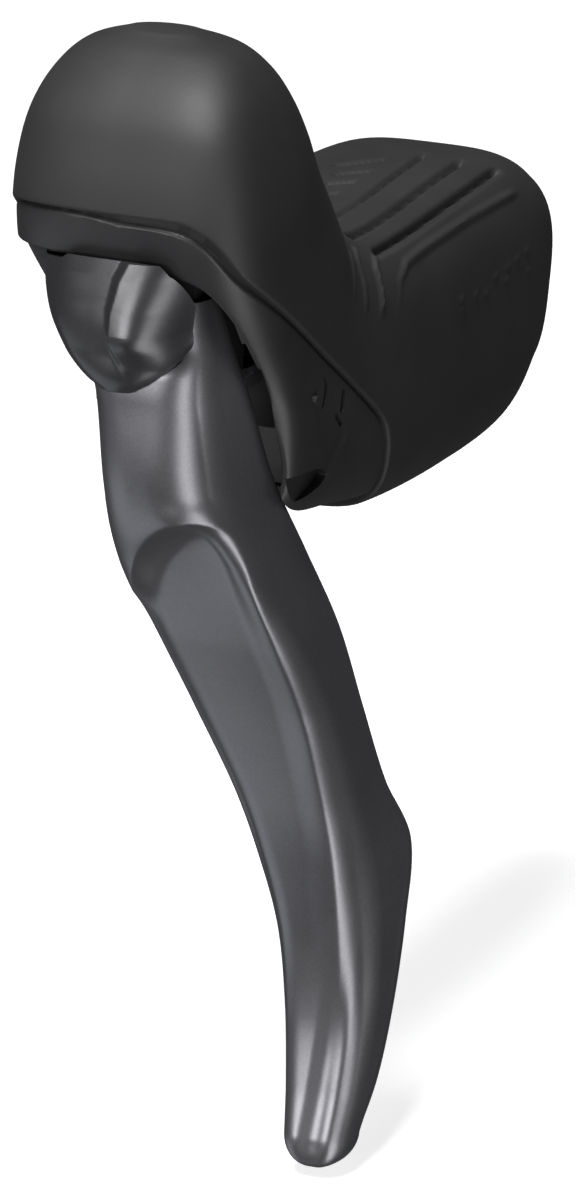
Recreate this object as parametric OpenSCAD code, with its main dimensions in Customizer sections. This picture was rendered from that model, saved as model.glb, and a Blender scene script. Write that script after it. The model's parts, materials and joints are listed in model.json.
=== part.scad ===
// Left-hand drop-bar hydraulic brake lever.
// Frame: origin at the centre of the handlebar clamp bore, +Z up, -Y forwards
// (away from the rider), +X outboard. Millimetres.

/* [Handlebar clamp] */
// Handlebar diameter where the clamp grips it
bar_d = 24; // [23.6:0.1:24.4]
// Lean of the handlebar axis: its top leans back by this many degrees
bar_tilt = 22; // [20:1:24]
// Width of the clamp band along the handlebar
band_w = 15; // [12:0.5:15]

/* [Lever pivot] */
// Lever axle diameter
axle_d = 5; // [4:0.5:5.5]
// Distance from the lever axle to the push-rod pin
rod_arm = 18; // [17.5:0.5:18.5]

/* [Hydraulics] */
// Master piston diameter
piston_d = 11; // [9:0.5:11]
// Radial running clearance of pins and of the piston
run_c = 0.05; // [0.02:0.01:0.08]
// Brake hose outer diameter
hose_d = 5; // [4.8:0.1:5.2]

/* [Shells] */
// Rubber thickness of the hood
rubber_t = 2; // [1.6:0.1:2.2]
// Wall thickness of the hollow blade
blade_wall = 2.6; // [2.2:0.1:3]

/* [Hidden] */
$fn = 40;
bar_r = bar_d / 2;
band_t = 1.2;
ax_y = -85;            // lever axle
ax_z = 29;
half_swing = 9;        // half of the lever's 18 degree travel
tr_y = ax_y - rod_arm * sin(half_swing);   // push-rod pin at rest
tr_z = ax_z - rod_arm * cos(half_swing);
cyl_z = ax_z - rod_arm * (1 + cos(half_swing)) / 2;   // cylinder axis
cyl_r = piston_d / 2 + run_c;
piston_front = -67.3;  // front end of the piston at rest
piston_back = -50.5;   // back shoulder of the piston at rest
cyl_end = -30;         // closed end of the bore

// Body stations: t, upper/rear point y z, lower/front point y z,
// half width, squareness of the upper/rear half and of the lower/front half
BODY = [
 [0, -0.5, 22.8, -8, -11.0, 17.8, 3.2, 3.2],
 [1, -9, 25.8, -18, -14.8, 19.0, 3.8, 3.6],
 [2, -29, 26.2, -37, -15.0, 19.2, 4.2, 3.8],
 [3, -45, 25.8, -56, -13.4, 18.9, 4.2, 4.2],
 [4, -56.5, 26.8, -72, -10.0, 18.7, 3.6, 5.0],
 [5, -63, 29.8, -86, -5.0, 18.7, 3.0, 6.0],
 [6, -66, 33.3, -89.5, 10.0, 18.9, 2.6, 6.0],
 [7, -68.3, 37.1, -98, 23.5, 19.1, 2.5, 4.4],
 [8, -70.3, 41.3, -102.5, 33.0, 19.1, 2.4, 3.2],
 [9, -72.3, 45.8, -103.5, 41.0, 18.3, 2.4, 2.7],
 [10, -74.6, 50.1, -102.2, 48.0, 16.7, 2.4, 2.5],
 [11, -77.4, 54.0, -98.7, 53.0, 14.4, 2.3, 2.3],
 [12, -80.8, 57.0, -94.2, 56.6, 10.8, 2.2, 2.2],
 [13, -84.5, 58.7, -90, 58.6, 5.1, 2.1, 2.1]];

// Blade stations: depth below the datum, then x y of the four corners
// (inboard front, outboard front ridge, outboard back, inboard back)
BLADE = [
 [-26, -8.5, -98.0, 9.0, -98.2, 10.5, -91.0, -9.0, -91.0],
 [-18, -6.4, -98.4, 9.8, -98.6, 12.5, -90.0, -8.0, -90.0],
 [-13, -5.2, -99.6, 9.6, -100.0, 13.6, -88.5, -7.0, -88.5],
 [0, -5.2, -98.2, 10.4, -98.8, 14.6, -83.5, -6.6, -85.0],
 [12, -6.2, -93.3, 15.0, -94.0, 15.2, -75.8, -6.8, -81.0],
 [24, -5.4, -86.0, 17.2, -86.5, 17.6, -70.5, -5.7, -74.0],
 [38, -3.6, -78.0, 17.6, -78.0, 18.2, -64.0, -3.9, -67.0],
 [52, -0.8, -71.5, 16.6, -71.0, 18.0, -56.0, -1.2, -61.0],
 [62, 1.3, -68.5, 16.3, -67.5, 20.0, -51.5, 0.9, -58.5],
 [74, 3.5, -66.0, 16.8, -65.0, 20.0, -53.0, 3.3, -57.0],
 [86, 4.9, -66.0, 17.2, -65.0, 19.6, -56.0, 4.7, -57.5],
 [96, 6.2, -68.0, 16.8, -67.0, 18.9, -59.5, 6.2, -60.5],
 [103, 7.2, -70.2, 16.2, -69.2, 17.8, -63.2, 7.2, -63.8]];

// Side view line where the rubber ends and the bare resin rim begins
PART = [[-112, 38.4], [-103.4, 38.2], [-101.3, 34.5], [-98, 29.8], [-93.5, 26.4], [-87, 21.8], [-79.8, 16.3], [-64.3, 4.8], [-59.8, 0], [-58.5, -24]];

function idx(tab, t, i = 0) = (i >= len(tab) - 2 || t < tab[i + 1][0]) ? i : idx(tab, t, i + 1);
function slope(tab, i) = let(a = tab[max(0, i - 1)], b = tab[min(len(tab) - 1, i + 1)]) (b - a) / (b[0] - a[0]);
function at(tab, t) = let(i = idx(tab, t), a = tab[i], b = tab[i + 1], h = b[0] - a[0], s = (t - a[0]) / h)
  (2 * s * s * s - 3 * s * s + 1) * a + (s * s * s - 2 * s * s + s) * h * slope(tab, i)
  + (-2 * s * s * s + 3 * s * s) * b + (s * s * s - s * s) * h * slope(tab, i + 1);
function spw(c, e) = sign(c) * pow(abs(c), e);

// One closed ring of the body's surface, moved inwards by off
function body_ring(t, off, nv) = let(r = at(BODY, t), m = [(r[1] + r[3]) / 2, (r[2] + r[4]) / 2],
    e = [(r[1] - r[3]) / 2, (r[2] - r[4]) / 2], l = norm(e), d = e / l)
  [for (k = [0:nv - 1]) let(v = 360 * k / nv, c = cos(v), s = sin(v), n = c > 0 ? r[6] : r[7],
    a = spw(c, 2 / n) * (l - off)) [(r[5] - off) * spw(s, 2 / n), m[0] + d[0] * a, m[1] + d[1] * a]];

// Polygon with rounded corners, n + 1 points a corner
function rounded(p, r, n) = [for (i = [0:len(p) - 1]) let(a = p[(i + len(p) - 1) % len(p)], b = p[i], c = p[(i + 1) % len(p)],
    q = min(r[i], 0.45 * norm(a - b), 0.45 * norm(c - b)), p0 = b + (a - b) / norm(a - b) * q, p2 = b + (c - b) / norm(c - b) * q)
  for (k = [0:n]) let(s = k / n) (1 - s) * (1 - s) * p0 + 2 * s * (1 - s) * b + s * s * p2];
function blade_corners(w) = let(r = at(BLADE, w)) [[r[1], r[2]], [r[3], r[4]], [r[5], r[6]], [r[7], r[8]]];
function blade_ring(w) = [for (p = rounded(blade_corners(w), [5, 4.5, 3, 4], 4)) [p[0], p[1], -w]];
// Hollow behind the blade's front wall, open at the back
function hollow_ring(w) = let(c = blade_corners(w), b = blade_wall)
  [for (p = rounded([c[0] + [b, b + 0.4], c[1] + [-b - 0.4, b + 0.8], c[2] + [-b, 6], c[3] + [b, 6]], [2.5, 2.5, 0.5, 0.5], 3)) [p[0], p[1], -w]];

// Solid through a list of equal rings
module skin(rings) {
  nv = len(rings[0]);
  nr = len(rings);
  polyhedron(points = [for (r = rings) for (p = r) p],
    faces = concat([[for (k = [nv - 1:-1:0]) k]], [[for (k = [0:nv - 1]) (nr - 1) * nv + k]],
      [for (i = [0:nr - 2]) for (k = [0:nv - 1]) let(a = i * nv + k, b = i * nv + (k + 1) % nv) [a, b, a + nv]],
      [for (i = [0:nr - 2]) for (k = [0:nv - 1]) let(a = i * nv + k, b = i * nv + (k + 1) % nv) [b, b + nv, a + nv]]));
}
module outer_shell() skin([for (t = [0, 0.5, 1, 2, 3, 3.5, 4, 4.5, 5, 5.5, 6, 6.5, 7, 7.5, 8, 8.5, 9, 9.5, 10, 10.5, 11, 11.5, 12, 12.5, 13]) body_ring(t, 0, 28)]);
module inset_shell(off, t0, t1) skin([for (t = concat([t0], [for (q = [0.5:0.5:12.5]) if (q > t0 + 0.04 && q < t1 - 0.04) q], [t1])) body_ring(t, off, 28)]);

// Prism across the whole width from a side-view outline of y z points
module side_prism(pts, w) rotate([90, 0, 90]) linear_extrude(height = w, center = true) polygon(pts);
module front_rim() translate([-15, -112, 20]) cube([30, 14.5, 18.4]);
module above_line() difference() {
  side_prism(concat(PART, [[20, -24], [20, 80], [-112, 80]]), 60);
  front_rim();
}
module below_line() {
  side_prism(concat(PART, [[-112, -24]]), 60);
  front_rim();
}
// Frame of the handlebar: Z along its axis, -Y towards the bracket
module bar_frame() rotate([-bar_tilt, 0, 0]) children();
module along_y(y0, y1, r, x = 0, z = 0) translate([x, y0, z]) rotate([-90, 0, 0]) cylinder(r = r, h = y1 - y0);
module along_x(x0, x1, r, y, z) translate([x0, y, z]) rotate([0, 90, 0]) cylinder(r = r, h = x1 - x0);
module hex_socket(r, h) cylinder(r = r, h = h, $fn = 6);

// Moulded resin housing: pivot cheeks, cylinder bore, reservoir and clamp saddle
module bracket_body() color([0.10, 0.10, 0.11]) difference() {
  union() {
    intersection() {
      inset_shell(rubber_t + 0.1, 0.45, 12);
      translate([-30, -120, -30]) cube([60, 130, 83.5]);
    }
    intersection() {
      inset_shell(0.5, 2.6, 10);
      below_line();
    }
  }
  // front edges of the two cheeks
  intersection() {
    side_prism([[-125, 31.4], [-102, 31.4], [-99.3, 26.8], [-96.3, 22.4], [-90.5, 15], [-88.5, 12], [-87, 3], [-86, -8], [-84, -40], [-125, -40]], 60);
    translate([0, -130, -60]) cube([30, 100, 120]);
  }
  intersection() {
    side_prism([[-125, 31.5], [-97.5, 31.5], [-93.2, 30.5], [-90.2, 27], [-86, 22], [-82, 14.8], [-78, 8.6], [-73, 3.2], [-70.8, -2.5], [-70, -40], [-125, -40]], 60);
    translate([-30, -130, -60]) cube([30.1, 100, 120]);
  }
  // room for the lever between the cheeks
  side_prism([[-125, 32.6], [-100, 32.6], [-93, 35.6], [-78.5, 35.6], [-78.5, 20], [-69, 19], [-69, 1], [-57, 0], [-57, -40], [-125, -40]], 26.4);
  side_prism([[-125, 20], [-82, 20], [-78, 17], [-69, 14], [-69, 1], [-57, 0], [-57, -40], [-125, -40]], 31);
  // cylinder bore with its mouth and stop ring groove
  along_y(-72, cyl_end, cyl_r, 0, cyl_z);
  along_y(-68.6, -67.35, cyl_r + 0.75, 0, cyl_z);
  // timing port, gallery and riser to the reservoir
  translate([0, -48, cyl_z]) cylinder(r = 0.9, h = 11);
  along_y(-72, -47.2, 0.9, 0, 21.2);
  translate([0, -72, 20.6]) cylinder(r = 0.9, h = 20);
  along_y(-84, -71.2, 0.9, 0, 40);
  translate([-5.2, -92.8, 37.5]) cube([10.4, 9.6, 30]);
  // reservoir lid screws
  for (s = [-1, 1]) translate([s * 7.4, -88, 46]) cylinder(r = 1.26, h = 10);
  // lever axle and its grub screw
  along_x(-20, 20, axle_d / 2 + 0.01, ax_y, ax_z);
  translate([15, ax_y, ax_z]) cylinder(r = 1.26, h = 20);
  // handlebar saddle, band groove, and the slot for the band's ears
  bar_frame() {
    cylinder(r = bar_r, h = 90, center = true);
    translate([-30, -2, -60]) cube([60, 60, 120]);
    cylinder(r = bar_r + band_t + 0.15, h = band_w + 0.4, center = true);
    translate([-2.7, -bar_r - 12, -band_w / 2 - 0.2]) cube([5.4, 14, band_w + 0.4]);
    translate([-9, -15, 8]) cylinder(r = 4.05, h = 30);
    translate([-9, -15, 14]) cylinder(r = 5, h = 30);
    // passage from the cylinder to the hose
    translate([-9, -15, 2]) cylinder(r = 0.9, h = 7);
    translate([-9, -34.5, 2.6]) rotate([-90, 0, 0]) cylinder(r = 0.9, h = 20.2);
    translate([-10, -33.5, 2.6]) rotate([0, 90, 0]) cylinder(r = 0.9, h = 8);
    // clamp bolt across the bracket
    translate([-20, -18.5, 0]) rotate([0, 90, 0]) cylinder(r = 2.6, h = 40);
    translate([12, -18.5, 0]) rotate([0, 90, 0]) cylinder(r = 4.5, h = 12);
    translate([-22, -22.6, -4.1]) cube([14, 8.2, 8.2]);
  }
  // recess with two slots on the outboard cheek
  along_x(17.6, 25, 2.1, -78, 10.4);
  translate([17.6, -74, 5.4]) cube([5, 1.4, 3.4]);
}

// Rubber hood: palm rest and tall horn, open below and at the handlebar
module bracket_cover() color([0.13, 0.13, 0.14]) difference() {
  intersection() {
    outer_shell();
    above_line();
  }
  inset_shell(rubber_t, 0.35, 12.3);
  bar_frame() {
    cylinder(r = bar_r + 0.4, h = 90, center = true);
    cylinder(r = bar_r + band_t + 0.2, h = band_w + 0.6, center = true);
    translate([-9, -15, 8]) cylinder(r = 5, h = 9.5);
    translate([-9, -15, 14]) cylinder(r = hose_d / 2 + 0.5, h = 20);
    translate([-9 - hose_d / 2 - 0.5, -15, 14]) cube([hose_d + 1, 12, 20]);
  }
}

module lever_axle() color([0.75, 0.76, 0.78]) difference() {
  along_x(-16.4, 16.4, axle_d / 2, ax_y, ax_z);
  translate([15, ax_y, ax_z + axle_d / 2 - 0.4]) cylinder(r = 1.3, h = 2);
}
module axle_set_screw() color([0.2, 0.2, 0.22]) difference() {
  translate([15, ax_y, ax_z + axle_d / 2 - 0.38]) cylinder(r = 1.25, h = 5);
  translate([15, ax_y, ax_z + axle_d / 2 + 3]) hex_socket(0.75, 4);
}
module stop_ring() color([0.5, 0.5, 0.52]) difference() {
  along_y(-68.5, -67.45, cyl_r + 0.65, 0, cyl_z);
  along_y(-70, -66, 4.1, 0, cyl_z);
  translate([-1.2, -70, cyl_z - 9]) cube([2.4, 5, 6]);
}
module reservoir_lid() color([0.16, 0.16, 0.17]) difference() {
  translate([0, -88, 53.55]) scale([1, 0.6, 1]) cylinder(r = 10.1, h = 1.6);
  for (s = [-1, 1]) translate([s * 7.4, -88, 50]) cylinder(r = 1.3, h = 10);
  translate([0, -88, 50]) cylinder(r = 2.52, h = 10);
}
module reservoir_diaphragm() color([0.05, 0.05, 0.05]) difference() {
  translate([-5, -92.6, 49.5]) cube([10, 9.2, 4]);
  translate([-4.3, -91.9, 48]) cube([8.6, 7.8, 4.7]);
  translate([0, -88, 45]) cylinder(r = 2.7, h = 10);
}
module lid_screws() color([0.6, 0.6, 0.62]) for (s = [-1, 1]) translate([s * 7.4, -88, 0]) difference() {
  union() {
    translate([0, 0, 46.5]) cylinder(r = 1.25, h = 8.75);
    translate([0, 0, 55.2]) cylinder(r = 1.7, h = 0.9);
  }
  translate([0, 0, 55.5]) hex_socket(0.75, 2);
}
module bleed_screw() color([0.7, 0.7, 0.72]) translate([0, -88, 0]) difference() {
  union() {
    translate([0, 0, 50.5]) cylinder(r = 2.5, h = 5);
    translate([0, 0, 55.9]) cylinder(r = 3.4, h = 0.8);
    translate([0, 0, 55.2]) cylinder(r = 2.5, h = 1);
  }
  translate([0, 0, 54.8]) hex_socket(1.3, 4);
}
module bleed_o_ring() color([0.05, 0.05, 0.05]) translate([0, -88, 55.52]) rotate_extrude() translate([2.95, 0]) circle(r = 0.35);

module clamp_band() color([0.7, 0.71, 0.73]) bar_frame() difference() {
  union() {
    cylinder(r = bar_r + band_t, h = band_w, center = true);
    for (s = [-1, 1]) translate([s * 1.9 - 0.6, -bar_r - 11.5, -band_w / 2]) cube([1.2, 12, band_w]);
  }
  cylinder(r = bar_r, h = 40, center = true);
  translate([-1.3, -bar_r - 3, -20]) cube([2.6, 6, 40]);
  translate([-5, -18.5, 0]) rotate([0, 90, 0]) cylinder(r = 2.6, h = 10);
}
module clamp_bolt() color([0.25, 0.25, 0.27]) bar_frame() translate([0, -18.5, 0]) rotate([0, 90, 0]) difference() {
  union() {
    translate([0, 0, -13.5]) cylinder(r = 2.5, h = 26);
    translate([0, 0, 12.05]) cylinder(r = 4.2, h = 3.4);
  }
  translate([0, 0, 13]) hex_socket(2.3, 5);
}
module clamp_nut() color([0.6, 0.6, 0.62]) bar_frame() difference() {
  translate([-12, -22.5, -4]) cube([3.95, 8, 8]);
  translate([-20, -18.5, 0]) rotate([0, 90, 0]) cylinder(r = 2.51, h = 20);
}
module hose_connector_bolt() color([0.2, 0.2, 0.21]) bar_frame() translate([-9, -15, 0]) difference() {
  union() {
    translate([0, 0, 9.6]) cylinder(r = 4, h = 5);
    translate([0, 0, 14.1]) cylinder(r = 4.6, h = 2.6, $fn = 6);
  }
  translate([0, 0, 9]) cylinder(r = hose_d / 2 + 0.05, h = 9);
}
module hose_olive() color([0.75, 0.6, 0.3]) bar_frame() translate([-9, -15, 8.05]) difference() {
  cylinder(r = 3.7, h = 1.5);
  translate([0, 0, -1]) cylinder(r = hose_d / 2 + 0.05, h = 5);
}

// Black carrier that turns on the axle and holds the blade
module lever_support() color([0.12, 0.12, 0.13]) difference() {
  union() {
    along_x(-12.4, 12.4, 5.2, ax_y, ax_z);
    side_prism([[-95.8, 29.5], [-86, 34], [-80.5, 30], [-82.6, 14], [-84.4, 8.4], [-90.5, 8.4], [-95.8, 14]], 17);
  }
  along_x(-20, 20, axle_d / 2 + 0.85, ax_y, ax_z);
  // relieved corner behind the neck of the blade
  linear_extrude(17.5) polygon([[-9, -90.5], [-9, -97], [-5.6, -97]]);
  // slot for the return spring and the push rod
  side_prism([[-92.4, 40], [-70, 40], [-70, 0], [-92.4, 0]], 9.6);
  along_x(-10, 10, 1.5 + 0.01, tr_y, tr_z);
  along_y(-100, -91, 1.26, 0, 24);
  for (s = [-1, 1]) along_y(-100, -88, 1.51, s * 6.6, 19.5);
  along_y(-99, -91, 1.51, 0, 19);
}
module axle_bushes() color([0.75, 0.62, 0.35]) for (s = [-1, 1]) difference() {
  along_x(s > 0 ? 5 : -12.4, s > 0 ? 12.4 : -5, axle_d / 2 + 0.84, ax_y, ax_z);
  along_x(-20, 20, axle_d / 2 + run_c, ax_y, ax_z);
}
module brake_lever() color([0.40, 0.40, 0.42]) difference() {
  skin(concat([for (w = [-26, -22, -18, -15, -13, -8, 0, 8, 16, 24, 32, 40, 48, 55, 60, 64, 70, 78, 86, 92, 98, 101, 103]) blade_ring(w)],
    [[for (p = blade_ring(103)) [12.1 + (p[0] - 12.1) * 0.86, -67 + (p[1] + 66.6) * 0.82, -106]],
     [for (p = blade_ring(103)) [12.1 + (p[0] - 12.1) * 0.46, -67.4 + (p[1] + 66.6) * 0.4, -108]]]));
  // seat for the carrier
  side_prism([[-96, 28], [-96, 14], [-91, 7.4], [-60, 7.4], [-60, 40], [-96, 40]], 17.6);
  skin([for (w = [-4.5, 0, 8, 16, 24, 32, 40, 48, 56, 62, 70, 80, 90]) hollow_ring(w)]);
  for (s = [-1, 1]) along_y(-105, -90, 1.6, s * 6.6, 19.5);
  along_y(-105, -90, 1.26, 0, 24);
  along_y(-105, -90, 1.52, 0, 19);
}
module blade_screws() color([0.5, 0.5, 0.52]) for (s = [-1, 1]) difference() {
  along_y(-98.2, -89.5, 1.5, s * 6.6, 19.5);
  translate([s * 6.6, -99, 19.5]) rotate([-90, 0, 0]) hex_socket(0.9, 2.2);
}
module nose_cap() color([0.36, 0.36, 0.38]) difference() {
  union() {
    skin([for (q = [[32.2, 11, -100.2, 1], [30, 11.6, -102, 1], [27, 11.8, -103.2, 1], [23, 10.8, -103.8, 1], [19, 8.6, -103.6, 1], [16, 5.4, -102.8, 1], [14.2, 2, -101.9, 1]])
      [for (k = [0:23]) let(v = 360 * k / 24) [-0.1 + q[1] * spw(sin(v), 0.9), -97 + (q[2] + 97) * spw(cos(v), 0.9), q[0]]]]);
    translate([4, -100, 26]) rotate([82, 0, 0]) cylinder(r1 = 5, r2 = 2.4, h = 6.4);
  }
  side_prism([[-98.8, 50], [-98.8, 19], [-101.35, 13.2], [-101.35, 0], [-60, 0], [-60, 50]], 60);
  along_y(-101.5, -90, 1.26, 0, 24);
}
module nose_cap_screw() color([0.5, 0.5, 0.52]) along_y(-101.4, -93, 1.25, 0, 24);
module reach_adjust_screw() color([0.5, 0.5, 0.52]) difference() {
  along_y(-98.5, -91.5, 1.5, 0, 19);
  translate([0, -99, 19]) rotate([-90, 0, 0]) hex_socket(0.9, 2.5);
}
module trunnion_pin() color([0.75, 0.76, 0.78]) along_x(-8.4, 8.4, 1.5, tr_y, tr_z);

// Torsion spring in the carrier's slot, around the axle
module return_spring() color([0.55, 0.55, 0.57]) {
  n = 3.2; st = 16; rr = 3.55; w = 0.45;
  skin([for (i = [0:ceil(n * st)]) let(v = 360 * i / st + 100, x = -3.6 + i * 7.2 / (n * st))
    [for (k = [0:5]) let(u = 60 * k) [x + w * sin(u), ax_y + (rr + w * cos(u)) * cos(v), ax_z + (rr + w * cos(u)) * sin(v)]]]);
}

module push_rod() color([0.75, 0.76, 0.78]) difference() {
  union() {
    along_x(-3, 3, 3, tr_y, tr_z);
    along_y(tr_y, -63.9, 1.5, 0, tr_z);
    translate([0, -63.7, tr_z]) sphere(r = 2.4);
  }
  along_x(-5, 5, 1.5 + run_c, tr_y, tr_z);
}
module master_piston() color([0.72, 0.72, 0.74]) difference() {
  union() {
    along_y(piston_front, -64.8, piston_d / 2, 0, cyl_z);
    along_y(-64.9, -61.9, piston_d / 2 - 1.6, 0, cyl_z);
    along_y(-62, piston_back, piston_d / 2, 0, cyl_z);
    along_y(piston_back - 0.1, piston_back + 3.4, 2, 0, cyl_z);
  }
  along_y(-70, -61, 3.1, 0, cyl_z);
}
module primary_cup() color([0.06, 0.06, 0.06]) difference() {
  along_y(piston_back + 0.05, piston_back + 2.8, cyl_r - 0.02, 0, cyl_z);
  along_y(piston_back - 1, piston_back + 4, 2.02, 0, cyl_z);
  difference() {
    along_y(piston_back + 1.4, piston_back + 4, cyl_r - 1, 0, cyl_z);
    along_y(piston_back + 1, piston_back + 5, 3, 0, cyl_z);
  }
}
module secondary_cup() color([0.06, 0.06, 0.06]) difference() {
  along_y(-64.75, -62.05, cyl_r - 0.02, 0, cyl_z);
  along_y(-66, -61, piston_d / 2 - 1.58, 0, cyl_z);
}
module piston_spring() color([0.6, 0.6, 0.62]) {
  n = 7; st = 12; y0 = piston_back + 3.6; y1 = cyl_end - 0.6; rr = 3.7; w = 0.4;
  skin([for (i = [0:n * st]) let(v = 360 * i / st)
    [for (k = [0:5]) let(u = 60 * k) [(rr + w * cos(u)) * sin(v), y0 + (y1 - y0) * i / (n * st) + w * sin(u), cyl_z + (rr + w * cos(u)) * cos(v)]]]);
}

bracket_body();
bracket_cover();
lever_axle();
axle_set_screw();
stop_ring();
reservoir_lid();
reservoir_diaphragm();
lid_screws();
bleed_screw();
bleed_o_ring();
clamp_band();
clamp_bolt();
clamp_nut();
hose_connector_bolt();
hose_olive();
lever_support();
axle_bushes();
brake_lever();
blade_screws();
nose_cap();
nose_cap_screw();
reach_adjust_screw();
trunnion_pin();
return_spring();
push_rod();
master_piston();
primary_cup();
secondary_cup();
piston_spring();
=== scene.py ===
# Left-hand drop-bar hydraulic brake lever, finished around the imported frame.
# Lengths below are millimetres in the part's own frame; meshes are made in metres.
import json
import math
import bpy
import bmesh
import numpy as np
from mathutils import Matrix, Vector


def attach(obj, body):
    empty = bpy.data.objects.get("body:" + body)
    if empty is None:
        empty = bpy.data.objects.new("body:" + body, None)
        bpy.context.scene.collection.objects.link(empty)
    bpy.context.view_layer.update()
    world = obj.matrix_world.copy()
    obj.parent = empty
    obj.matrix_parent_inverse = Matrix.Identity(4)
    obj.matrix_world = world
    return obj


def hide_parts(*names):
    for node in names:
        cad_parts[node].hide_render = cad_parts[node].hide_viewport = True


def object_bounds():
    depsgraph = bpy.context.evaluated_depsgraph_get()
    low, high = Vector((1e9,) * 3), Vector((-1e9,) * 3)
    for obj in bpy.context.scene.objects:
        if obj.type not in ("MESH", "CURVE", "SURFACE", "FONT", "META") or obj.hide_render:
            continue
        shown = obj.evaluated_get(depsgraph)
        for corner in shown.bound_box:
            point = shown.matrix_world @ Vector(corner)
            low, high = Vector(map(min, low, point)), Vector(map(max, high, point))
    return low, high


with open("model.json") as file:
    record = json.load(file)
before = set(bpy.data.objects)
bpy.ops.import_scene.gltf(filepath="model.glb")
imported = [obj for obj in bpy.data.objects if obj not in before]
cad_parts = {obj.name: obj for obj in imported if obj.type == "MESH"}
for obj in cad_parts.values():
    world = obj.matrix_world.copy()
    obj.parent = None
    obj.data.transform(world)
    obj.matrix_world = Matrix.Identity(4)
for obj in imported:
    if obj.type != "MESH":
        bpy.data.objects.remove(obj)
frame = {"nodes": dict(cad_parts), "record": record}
cad_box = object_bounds()

# ---------------------------------------------------------------- tables
BODY = [
    [0, -0.5, 22.8, -8, -11.0, 17.8, 3.2, 3.2],
    [1, -9, 25.8, -18, -14.8, 19.0, 3.8, 3.6],
    [2, -29, 26.2, -37, -15.0, 19.2, 4.2, 3.8],
    [3, -45, 25.8, -56, -13.4, 18.9, 4.2, 4.2],
    [4, -56.5, 26.8, -72, -10.0, 18.7, 3.6, 5.0],
    [5, -63, 29.8, -86, -5.0, 18.7, 3.0, 6.0],
    [6, -66, 33.3, -89.5, 10.0, 18.9, 2.6, 6.0],
    [7, -68.3, 37.1, -98, 23.5, 19.1, 2.5, 4.4],
    [8, -70.3, 41.3, -102.5, 33.0, 19.1, 2.4, 3.2],
    [9, -72.3, 45.8, -103.5, 41.0, 18.3, 2.4, 2.7],
    [10, -74.6, 50.1, -102.2, 48.0, 16.7, 2.4, 2.5],
    [11, -77.4, 54.0, -98.7, 53.0, 14.4, 2.3, 2.3],
    [12, -80.8, 57.0, -94.2, 56.6, 10.8, 2.2, 2.2],
    [13, -84.5, 58.7, -90, 58.6, 5.1, 2.1, 2.1]]
BLADE = [
    [-26, -8.5, -98.0, 9.0, -98.2, 10.5, -91.0, -9.0, -91.0],
    [-18, -6.4, -98.8, 9.8, -99.0, 12.5, -90.0, -8.0, -90.0],
    [-13, -5.2, -99.0, 9.6, -99.4, 13.6, -88.5, -7.0, -88.5],
    [0, -5.2, -98.2, 10.4, -98.8, 14.6, -83.5, -6.6, -85.0],
    [12, -6.2, -93.3, 15.0, -94.0, 15.2, -75.8, -6.8, -81.0],
    [24, -5.4, -86.0, 17.2, -86.5, 17.6, -70.5, -5.7, -74.0],
    [38, -3.6, -78.0, 17.6, -78.0, 18.2, -64.0, -3.9, -67.0],
    [52, -0.8, -71.5, 16.6, -71.0, 18.0, -56.0, -1.2, -61.0],
    [62, 1.3, -68.5, 16.3, -67.5, 20.0, -51.5, 0.9, -58.5],
    [74, 3.5, -66.0, 16.8, -65.0, 20.0, -53.0, 3.3, -57.0],
    [86, 4.9, -66.0, 17.2, -65.0, 19.6, -56.0, 4.7, -57.5],
    [96, 6.2, -68.0, 16.8, -67.0, 18.9, -59.5, 6.2, -60.5],
    [103, 7.2, -70.2, 16.2, -69.2, 17.8, -63.2, 7.2, -63.8]]
RUBBER = 2.0
BAR_R = 12.0
TILT = math.radians(22)


def at(tab, t):
    T = [r[0] for r in tab]
    P = np.array([r[1:] for r in tab], float)
    n = len(T)
    i = max(0, min(n - 2, int(np.searchsorted(T, t, side="right")) - 1))

    def m(k):
        a, b = max(0, k - 1), min(n - 1, k + 1)
        return (P[b] - P[a]) / (T[b] - T[a])
    h = T[i + 1] - T[i]
    s = (t - T[i]) / h
    return ((2 * s ** 3 - 3 * s * s + 1) * P[i] + (s ** 3 - 2 * s * s + s) * h * m(i)
            + (-2 * s ** 3 + 3 * s * s) * P[i + 1] + (s ** 3 - s * s) * h * m(i + 1))


def smooth(a, b, x):
    s = np.clip((x - a) / (b - a), 0, 1)
    return s * s * (3 - 2 * s)


def resample(P, n, weight=None, closed=True):
    """n points along a polyline, evenly by length (or by weighted length)."""
    Q = np.vstack([P, P[:1]]) if closed else P
    d = np.linalg.norm(np.diff(Q, axis=0), axis=1)
    if weight is not None:
        d = d * weight(0.5 * (Q[1:] + Q[:-1]))
    s = np.concatenate([[0], np.cumsum(d)])
    u = np.linspace(0, s[-1], n + 1)[:n] if closed else np.linspace(0, s[-1], n)
    return np.column_stack([np.interp(u, s, Q[:, k]) for k in range(Q.shape[1])])


# Extra squareness of the outboard half: t, upper or rear half, lower or front half
SQUARE = [[0, 0.0, 0.0], [4, 0.0, 0.0], [5, 0.2, 0.0], [6, 0.3, 0.0], [7, 0.2, 0.4], [8, 0.0, 1.1], [9, 0.0, 1.6],
          [10, 0.0, 1.6], [11, 0.0, 1.3], [12, 0.0, 0.8], [13, 0.0, 0.3]]


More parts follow.
